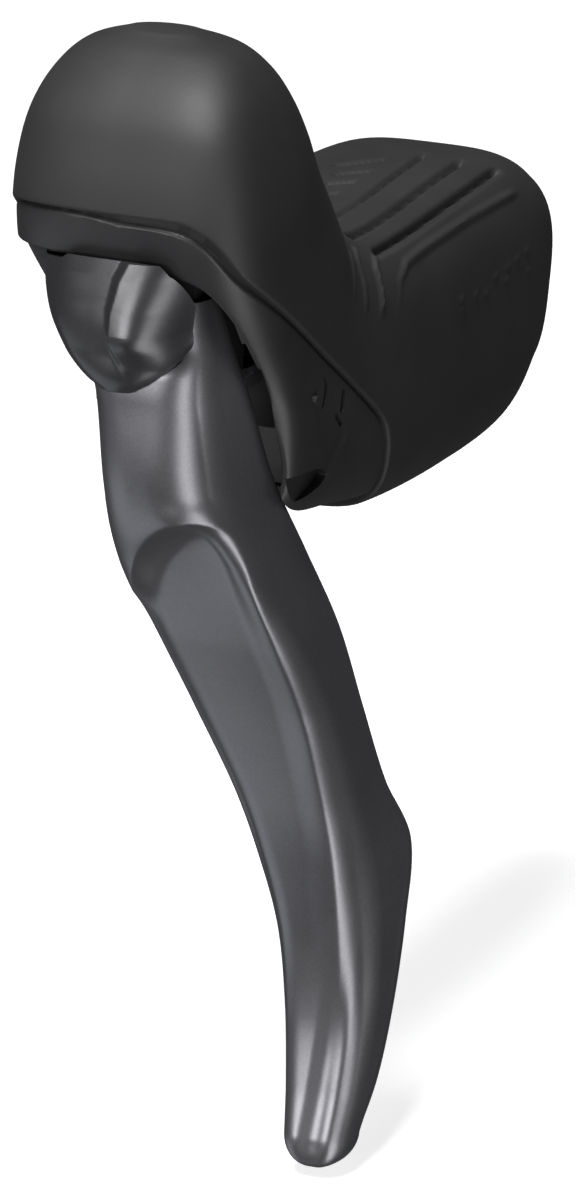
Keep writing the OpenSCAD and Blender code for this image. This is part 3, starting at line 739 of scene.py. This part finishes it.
def bracket():
    nv = 320
    t = np.linspace(2.7, 10, 190)
    G = np.array([body_ring(a, 0.5, nv) for a in t])
    N = grid_normals(G)
    V, Nn = G.reshape(-1, 3), N.reshape(-1, 3)
    F = grid_faces(len(t), nv)
    A = np.column_stack([V, Nn, -along_surface(G, part_field(V)), along_surface(G, low_field(V)), cheek_relief(V)])
    # the edge dives under the rubber, so the sheet runs a little past the parting line
    A, F = split_at(A, F, 6, -0.5)
    F = keep_side(A, F, 6, -0.5)
    A, F = compact(A, F)
    for lev in (0.8, 0.45, 0.15):
        A, F = split_at(A, F, 6, lev)
    for lev in (1.0, 0.6, 0.3, 0.1, 0.0):
        A, F = split_at(A, F, 7, lev)
    F = keep_side(A, F, 7, 0.0)
    A, F = compact(A, F)
    P, Nr = A[:, :3], A[:, 3:6]
    Nr = Nr / (np.linalg.norm(Nr, axis=1, keepdims=True) + 1e-9)
    out = P + Nr * (A[:, 8] - 0.55 * (1 - smooth(0.0, 0.7, A[:, 6])) - roll(A[:, 7], 0.7))[:, None]
    inn = P - Nr * 2.6
    n = len(P)
    # sheet with thickness
    edge = {}
    for f in F:
        for k in range(len(f)):
            a, b = f[k], f[(k + 1) % len(f)]
            edge[(a, b)] = edge.get((a, b), 0) + 1
    F2 = list(F) + [[i + n for i in f][::-1] for f in F]
    for (a, b) in edge:
        if (b, a) not in edge:
            F2.append([b, a, a + n, b + n])
    sheet = fix_normals(mesh_object("sheet", np.vstack([out, inn]), F2))
    # core
    ts = np.concatenate([[0.45], np.linspace(0.6, 11.9, 90), [12.0]])
    core = loft("bracket", [body_ring(a, RUBBER + 0.15, 160) for a in ts])
    lowr = [p for p in LOW_RC if p[0] > -126]
    fr = [[p[0] + 0.5, p[1] + 0.3] for p in LOW_RC] + [[-125, -40]]
    fl = [[p[0] + 0.5, p[1] + 0.3] for p in LOW_LC] + [[-125, -40]]
    steps = [
        ("INTERSECT", box(-30, 30, -120, 10, -30, 53.5)),
        ("DIFFERENCE", prism(fr, 30, 0.0)),
        ("DIFFERENCE", prism(fl, 30.1, -30.0)),
        ("DIFFERENCE", prism([[-125, 32.4], [-100, 32.4], [-93, 35.6], [-78.5, 35.6], [-78.5, 20], [-69, 19], [-69, 1], [-57, 0], [-57, -40], [-125, -40]], 26.4)),
        ("DIFFERENCE", prism([[-125, 20], [-82, 20], [-78, 17], [-69, 14], [-69, 1], [-57, 0], [-57, -40], [-125, -40]], 31)),
        ("UNION", sheet),
        ("DIFFERENCE", prism([[-93, 12], [-90, 20], [-82, 20], [-78, 17], [-69, 14], [-69, 1], [-57, 0], [-57, -40], [-110, -40], [-97, 12]], 31)),
        # pocket below the outboard cheek
        ("DIFFERENCE", prism(curve([[-92, 0.0], [-86, 0.5], [-82.5, 0.7], [-79.0, 0.1], [-77.2, -0.6], [-76.9, -1.5], [-78.2, -2.4], [-81.5, -3.2], [-84.5, -3.6], [-92, -3.9]], 8), 13.6, 16.3)),
        # ringed dimple and two slots of the cheek
        ("DIFFERENCE", prism(arc_band(-80.6, 10.6, 2.1, 3.1, -62, 52), 12, 17.3)),
        ("UNION", prism(disc(-81.6, 10.3, 0.62), 2.2, 16.7)),
        ("DIFFERENCE", prism(capsule([-72.7, 8.8], [-73.1, 6.6], 0.55), 12, 17.4)),
        ("DIFFERENCE", prism(capsule([-74.9, 6.1], [-73.3, 4.5], 0.38), 12, 17.6)),
        ("DIFFERENCE", rod((0, 0, 11.111), (0, 1, 0), 5.55, -72, -30)),
        ("DIFFERENCE", rod((0, 0, 11.111), (0, 1, 0), 6.3, -68.6, -67.35)),
        ("DIFFERENCE", rod((0, 0, 21.2), (0, 1, 0), 0.9, -72, -47.2, 24)),
        ("DIFFERENCE", rod((0, -48, 0), (0, 0, 1), 0.9, 11.1, 22.1, 24)),
        ("DIFFERENCE", rod((0, -72, 0), (0, 0, 1), 0.9, 20.6, 40.6, 24)),
        ("DIFFERENCE", rod((0, 0, 40), (0, 1, 0), 0.9, -84, -71.2, 24)),
        ("DIFFERENCE", box(-5.2, 5.2, -92.8, -83.2, 37.5, 70)),
        ("DIFFERENCE", rod((-7.4, -88, 0), (0, 0, 1), 1.26, 46, 60, 32)),
        ("DIFFERENCE", rod((7.4, -88, 0), (0, 0, 1), 1.26, 46, 60, 32)),
        ("DIFFERENCE", rod((0, -85, 29), (1, 0, 0), 2.51, -20, 20, 48)),
        ("DIFFERENCE", rod((15, -85, 0), (0, 0, 1), 1.26, 29, 49, 32)),
        ("DIFFERENCE", bar_rod(0, 0, BAR_R, -45, 45, 128)),
        ("DIFFERENCE", bar_box(-30, 30, -2, 58, -60, 60)),
        ("DIFFERENCE", bar_rod(0, 0, BAR_R + 1.35, -7.7, 7.7, 128)),
        ("DIFFERENCE", bar_box(-2.7, 2.7, -24, -10, -7.7, 7.7)),
        ("DIFFERENCE", bar_rod(-9, -15, 4.05, 8, 38)),
        ("DIFFERENCE", bar_rod(-9, -15, 5.0, 14, 44)),
        ("DIFFERENCE", bar_rod(-9, -15, 0.9, 2, 9, 24)),
        ("DIFFERENCE", rod(bar_pt(0, -18.5, 0), (1, 0, 0), 2.6, -20, 20, 48)),
        ("DIFFERENCE", rod(bar_pt(0, -18.5, 0), (1, 0, 0), 4.5, 12, 24, 48)),
        ("DIFFERENCE", bar_box(-22, -8, -22.6, -14.4, -4.1, 4.1)),
    ]
    csg(core, steps)
    core.name = "bracket"
    core.data.name = "bracket"
    return sharp(core, 40)


# ---------------------------------------------------------------- blade
ARCH = [[-7.5, -24], [-5.6, -19.5], [-4.0, -15.5], [-2.4, -12.3], [-0.6, -9.8], [1.8, -7.0], [4.7, -4.4], [7.6, -3.2],
        [9.8, -2.9], [11.4, -3.6], [12.6, -5.4], [13.4, -8.0], [14.0, -12], [14.4, -17], [14.8, -23], [15.1, -30], [15.0, -38],
        [14.4, -46], [14.0, -56], [13.9, -70], [13.8, -85], [13.4, -95], [12.6, -100]]


def blade_ring(w, n=40):
    r = at(BLADE, w).reshape(4, 2)
    neck = float(smooth(12, -2, np.array(w)))
    low = float(smooth(20, 45, np.array(w)))
    rad = [5 + 1.5 * neck, 5.6 + 1.6 * neck + 1.2 * low, 3, 4]
    out = []
    for i in range(4):
        a, b, c = r[i - 1], r[i], r[(i + 1) % 4]
        la, lc = np.linalg.norm(a - b), np.linalg.norm(c - b)
        q = min(rad[i], 0.45 * la, 0.45 * lc)
        p0, p2 = b + (a - b) / la * q, b + (c - b) / lc * q
        for k in range(n + 1):
            s = k / n
            out.append((1 - s) ** 2 * p0 + 2 * s * (1 - s) * b + s * s * p2)
    return np.array(out)


def blade():
    nv = 200
    nz = 330
    rows = []
    for w in np.linspace(-26, 103, nz):
        q = resample(blade_ring(w), nv)
        rows.append(np.column_stack([q, np.full(nv, -w)]))
    # rounded tip
    last = rows[-1]
    c = np.array([12.1, -66.6])
    for k in range(1, 15):
        a = 0.5 * math.pi * k / 15
        s, dz = math.cos(a) ** 0.95, 5.0 * math.sin(a)
        r = last.copy()
        r[:, 0] = c[0] + (last[:, 0] - c[0]) * s
        r[:, 1] = c[1] + (last[:, 1] - c[1]) * s - 0.8 * math.sin(a)
        r[:, 2] = -103 - dz
        rows.append(r)
    G = np.array(rows)
    N = grid_normals(G)
    x, y, z = G[..., 0], G[..., 1], G[..., 2]
    front = smooth(0.15, 0.7, -N[..., 1])
    xl = np.interp(-z, [r[0] for r in BLADE], [r[1] for r in BLADE])
    xr = np.interp(-z, [r[0] for r in BLADE], [r[3] for r in BLADE])
    u = np.clip((x - xl) / (xr - xl), 0, 1)
    # rounded neck, and a lighter crown on the whole front face
    neck = smooth(-12, -2, z) * smooth(20.5, 16.5, z)
    dome = np.sqrt(np.maximum(1 - ((u - 0.44) / 0.58) ** 2, 0))
    crown = 4 * u * (1 - u)
    rise = (1.5 * neck * dome + 0.5 * smooth(-2, -12, z) * crown) * front
    d = np.zeros_like(x)
    # finger recess: scooped in under the arch, bounded outboard by the ridge
    flat = np.column_stack([x.ravel(), z.ravel()])
    s = signed(flat, curve(ARCH, 12), -1).reshape(x.shape)
    fade = smooth(-92, -50, z)
    top = smooth(-26, -6, z)
    soft = s.copy()
    for _ in range(34):
        soft[1:-1] = 0.25 * soft[:-2] + 0.5 * soft[1:-1] + 0.25 * soft[2:]
        soft = 0.25 * np.roll(soft, 1, 1) + 0.5 * soft + 0.25 * np.roll(soft, -1, 1)
    near = np.sin(0.5 * math.pi * np.clip(soft / 4.2, 0, 1))
    far = np.sin(0.5 * math.pi * np.clip(soft / 10.0, 0, 1))
    s = soft
    d -= (1.1 * fade * near + top * (1.5 * near + 1.1 * far)) * front
    # full bead along the edge of the recess
    d += (0.30 * smooth(-12, -5, z) * smooth(-94, -76, z) + 0.12 * smooth(-14, -30, z) * smooth(-94, -76, z)) * np.exp(-((s + 0.9) / 1.7) ** 2) * front
    # the outboard ridge leans outboard, so it reads as one broad band
    lean = smooth(-9, -20, z) * smooth(-96, -78, z) * smooth(0.5, 0.68, u)
    d -= 0.17 * np.clip(-s - 0.3, 0, 5.5) * lean * front
    # shallow valley between the two beads of the tip
    ch = np.abs(x - np.interp(-z, [70, 82, 92, 108], [14.0, 13.6, 13.0, 12.0]))
    d -= 0.62 * (0.5 + 0.5 * np.cos(math.pi * np.clip(ch / 2.7, 0, 1))) * smooth(-72, -92, z) * front
    d *= smooth(-107.6, -103.5, z)
    G = G + N * d[..., None]
    G[..., 1] -= rise
    V = G.reshape(-1, 3)
    F = grid_faces(len(rows), nv)
    F.append(list(range(nv)))
    F.append([(len(rows) - 1) * nv + k for k in range(nv)])
    o = fix_normals(mesh_object("blade", V, F))
    hol = []
    b = 2.6
    for w in np.linspace(-4.5, 92, 60):
        c4 = at(BLADE, w).reshape(4, 2)
        deep = 0.7 * float(smooth(-2, 6, np.array(w)) * smooth(34, 22, np.array(w)))
        P = np.array([c4[0] + [b, b + 1.8 + deep], c4[1] + [-b - 0.4, b + 2.0 + deep], c4[2] + [-b, 6], c4[3] + [b, 6]])
        q = []
        rad = [2.5, 2.5, 0.5, 0.5]
        for i in range(4):
            a, m, e = P[i - 1], P[i], P[(i + 1) % 4]
            la, lc = np.linalg.norm(a - m), np.linalg.norm(e - m)
            k2 = min(rad[i], 0.45 * la, 0.45 * lc)
            p0, p2 = m + (a - m) / la * k2, m + (e - m) / lc * k2
            for k in range(7):
                t = k / 6
                q.append((1 - t) ** 2 * p0 + 2 * t * (1 - t) * m + t * t * p2)
        q = np.array(q)
        hol.append(np.column_stack([q, np.full(len(q), -w)]))
    steps = [("DIFFERENCE", prism([[-96, 28], [-96, 14], [-91, 7.4], [-60, 7.4], [-60, 40], [-96, 40]], 17.6)),
             ("DIFFERENCE", loft("hollow", hol))]
    for sx in (-1, 1):
        steps.append(("DIFFERENCE", rod((sx * 6.6, 0, 19.5), (0, 1, 0), 1.6, -106, -90, 40)))
    steps.append(("DIFFERENCE", rod((0, 0, 24), (0, 1, 0), 1.26, -106, -90, 32)))
    steps.append(("DIFFERENCE", rod((0, 0, 19), (0, 1, 0), 1.52, -106, -90, 32)))
    csg(o, steps)
    o.name = "blade"
    o.data.name = "blade"
    return sharp(o, 40)


# ---------------------------------------------------------------- nose cap
def wall_room():
    """Space taken by the front wall of the housing, with a running gap all round."""
    ts = np.linspace(5.0, 9.5, 60)
    o = loft("wall_room", [body_ring(a, -0.6, 160) for a in ts])
    below = lambda L: [[p[0] - 0.4, p[1] - 0.4] for p in L] + [[-125, -40]]
    csg(o, [("DIFFERENCE", loft("inner", [body_ring(a, 3.5, 160) for a in np.linspace(4.8, 9.7, 60)])),
            ("DIFFERENCE", prism(below(LOW_RC), 30, 3.0)),
            ("DIFFERENCE", prism(below(LOW_LC), 33.1, -30.0))])
    return o


def cap():
    tab = [[-32.2, 11.3, 6.5], [-30, 11.6, 6.6], [-27, 11.7, 6.75], [-23, 10.9, 6.9], [-19, 8.9, 6.6], [-17, 7.3, 6.2], [-15.6, 5.7, 5.7], [-14.7, 4.1, 5.2]]
    nv = 240
    rows = []
    for w in np.linspace(-32.2, -14.7, 130):
        hw, dp = at(tab, w)
        u = np.linspace(0, 2 * math.pi, 721)[:-1]
        r = np.column_stack([-0.1 + hw * np.sign(np.sin(u)) * np.abs(np.sin(u)) ** 0.9,
                             -97 - dp * np.sign(np.cos(u)) * np.abs(np.cos(u)) ** 0.9, np.full(720, -w)])
        rows.append(resample(r, nv))
    last = rows[-1]
    c = last.mean(axis=0)
    for k in range(1, 9):
        a = 0.5 * math.pi * k / 9
        r = c + (last - c) * [math.cos(a), math.cos(a), 0]
        r[:, 2] = 14.7 - 0.9 * math.sin(a)
        rows.append(r)
    G = np.array(rows)
    N = grid_normals(G)
    x, z = G[..., 0], G[..., 2]
    front = smooth(0.1, 0.8, -N[..., 1])
    # raised nose: a steep wall on its inboard side, rounded away outboard, undercut below
    cx = np.interp(z, [14, 17, 20, 23, 26, 30, 33], [3.4, 2.2, 0.9, 0.3, 0.4, 1.4, 3.0])
    s = x - cx
    lean = np.interp(z, [14, 21.0, 23.0, 33], [1.0, 1.0, 0.97, 0.2])
    body = (1.7 * smooth(-0.35, 0.8, s) + 0.19 * np.clip(s, 0, 20) - 0.115 * np.clip(s - 2.4, 0, 20) ** 2) * lean
    fall = smooth(17.6, 22.0 + 0.2 * np.clip(s, 0, 6), z)
    G[..., 1] -= np.where(s > -0.4, body, 0) * fall * front
    # flat inboard flank
    G[..., 1] += 0.5 * smooth(0.4, -1.0, s) * smooth(-9, -3, s) * front * smooth(16, 20, z)
    F = grid_faces(len(rows), nv)
    F.append(list(range(nv)))
    F.append([(len(rows) - 1) * nv + k for k in range(nv)])
    o = fix_normals(mesh_object("nose", G.reshape(-1, 3), F))
    csg(o, [("DIFFERENCE", prism([[-98.8, 50], [-98.8, 20.7], [-101.0, 16.6], [-101.5, 13], [-101.5, 0], [-60, 0], [-60, 50]], 60)),
            ("DIFFERENCE", wall_room()),
            ("DIFFERENCE", rod((0, 0, 24), (0, 1, 0), 1.26, -101.5, -90, 32))])
    o.name = "lever_nose"
    o.data.name = "lever_nose"
    return sharp(o, 40)


hood_o = hood()
dress(hood_o, "hood_rubber")
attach(hood_o, "bracket")
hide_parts("bracket_cover")

bracket_o = bracket()
dress(bracket_o, "resin")
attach(bracket_o, "bracket")
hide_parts("bracket_body")

blade_o = blade()
dress(blade_o, "lever_grey")
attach(blade_o, "lever")
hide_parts("brake_lever")

cap_o = cap()
dress(cap_o, "cap_grey")
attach(cap_o, "lever")
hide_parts("nose_cap")

# CAD nodes that stay get their procedural finish
SLOT = {s["node"]: s["material_slot"] for s in frame["record"]["subparts"]}
for name, o in frame["nodes"].items():
    o.data.shade_smooth()
    o.data.set_sharp_from_angle(angle=math.radians(30))
    if not o.data.materials:
        o.data.materials.append(MATS[SLOT[name]])
    for k in range(len(o.data.materials)):
        o.data.materials[k] = MATS[SLOT[name]]

# ---------------------------------------------------------------- stage, light, camera
low = cad_box[0][2]


def floor_material():
    m = bpy.data.materials.new("floor")
    m.use_nodes = True
    nt = m.node_tree
    N, L = nt.nodes.new, nt.links.new
    p = nt.nodes["Principled BSDF"]
    p.inputs["Roughness"].default_value = 0.9
    p.inputs["Specular IOR Level"].default_value = 0.05
    tc = N("ShaderNodeTexCoord")
    n = N("ShaderNodeTexNoise")
    n.inputs["Scale"].default_value = 0.6
    r = N("ShaderNodeValToRGB")
    r.color_ramp.elements[0].color = (0.60, 0.60, 0.60, 1)
    r.color_ramp.elements[1].color = (0.64, 0.64, 0.64, 1)
    L(tc.outputs["Object"], n.inputs["Vector"])
    L(n.outputs["Fac"], r.inputs["Fac"])
    L(r.outputs["Color"], p.inputs["Base Color"])
    p.inputs["Emission Color"].default_value = (1, 1, 1, 1)
    p.inputs["Emission Strength"].default_value = 0.78
    return m


fme = bpy.data.meshes.new("floor")
S = 6.0
fme.from_pydata([(-S, -S, low - 0.0015), (S, -S, low - 0.0015), (S, S, low - 0.0015), (-S, S, low - 0.0015)], [], [[0, 1, 2, 3]])
floor_o = bpy.data.objects.new("floor", fme)
bpy.context.scene.collection.objects.link(floor_o)
fme.materials.append(floor_material())
floor_o.visible_glossy = False
floor_o.visible_diffuse = False
floor_o.visible_shadow = False

world = bpy.data.worlds.new("studio")
bpy.context.scene.world = world
world.use_nodes = True
wn = world.node_tree
bg = wn.nodes["Background"]
bg.inputs["Color"].default_value = (0.95, 0.96, 1.0, 1)
lp = wn.nodes.new("ShaderNodeLightPath")
mr = wn.nodes.new("ShaderNodeMapRange")
mr.inputs["To Min"].default_value = 0.07
mr.inputs["To Max"].default_value = 0.95
wn.links.new(lp.outputs["Is Camera Ray"], mr.inputs["Value"])
wn.links.new(mr.outputs["Result"], bg.inputs["Strength"])

TARGET = Vector((0.0, -0.070, -0.020))


def area(name, az, el, dist, sx, sy, power, colour=(1, 1, 1), target=TARGET):
    li = bpy.data.lights.new(name, "AREA")
    li.shape = "RECTANGLE"
    li.size = sx
    li.size_y = sy
    li.energy = power
    li.color = colour
    o = bpy.data.objects.new(name, li)
    a, e = math.radians(az), math.radians(el)
    d = Vector((math.sin(a) * math.cos(e), -math.cos(a) * math.cos(e), math.sin(e)))
    o.location = target + d * dist
    o.rotation_euler = (-d).to_track_quat("-Z", "Y").to_euler()
    bpy.context.scene.collection.objects.link(o)
    o.visible_camera = False
    return o


area("key", 53, -33, 0.9, 0.42, 1.15, 5.0)
area("fill", -66, -45, 1.2, 0.9, 0.9, 1.9, (0.93, 0.95, 1.0))
area("tip", -15, 5, 1.1, 0.70, 0.20, 5.2)
area("front", -10, 54, 1.2, 0.8, 0.3, 1.0)
area("top", 4, 68, 1.0, 0.30, 0.30, 15.5)
bpy.context.scene.view_settings.view_transform = "Standard"

cam = bpy.data.cameras.new("camera")
cam.sensor_fit = "AUTO"
cam.sensor_width = 36.0
cam.lens = 139.5
cam.clip_start = 0.01
cam.clip_end = 50
cam_o = bpy.data.objects.new("camera", cam)
T = Vector((0.0, -0.083, -0.020))
a, e = math.radians(28), math.radians(20)
fwd = Vector((math.sin(a) * math.cos(e), -math.cos(a) * math.cos(e), math.sin(e)))
cam_o.location = T + fwd * 0.620
aim = T + Vector((math.cos(a), math.sin(a), 0)) * 0.01353
cam_o.rotation_euler = (aim - cam_o.location).to_track_quat("-Z", "Y").to_euler()
bpy.context.scene.collection.objects.link(cam_o)
bpy.context.scene.camera = cam_o
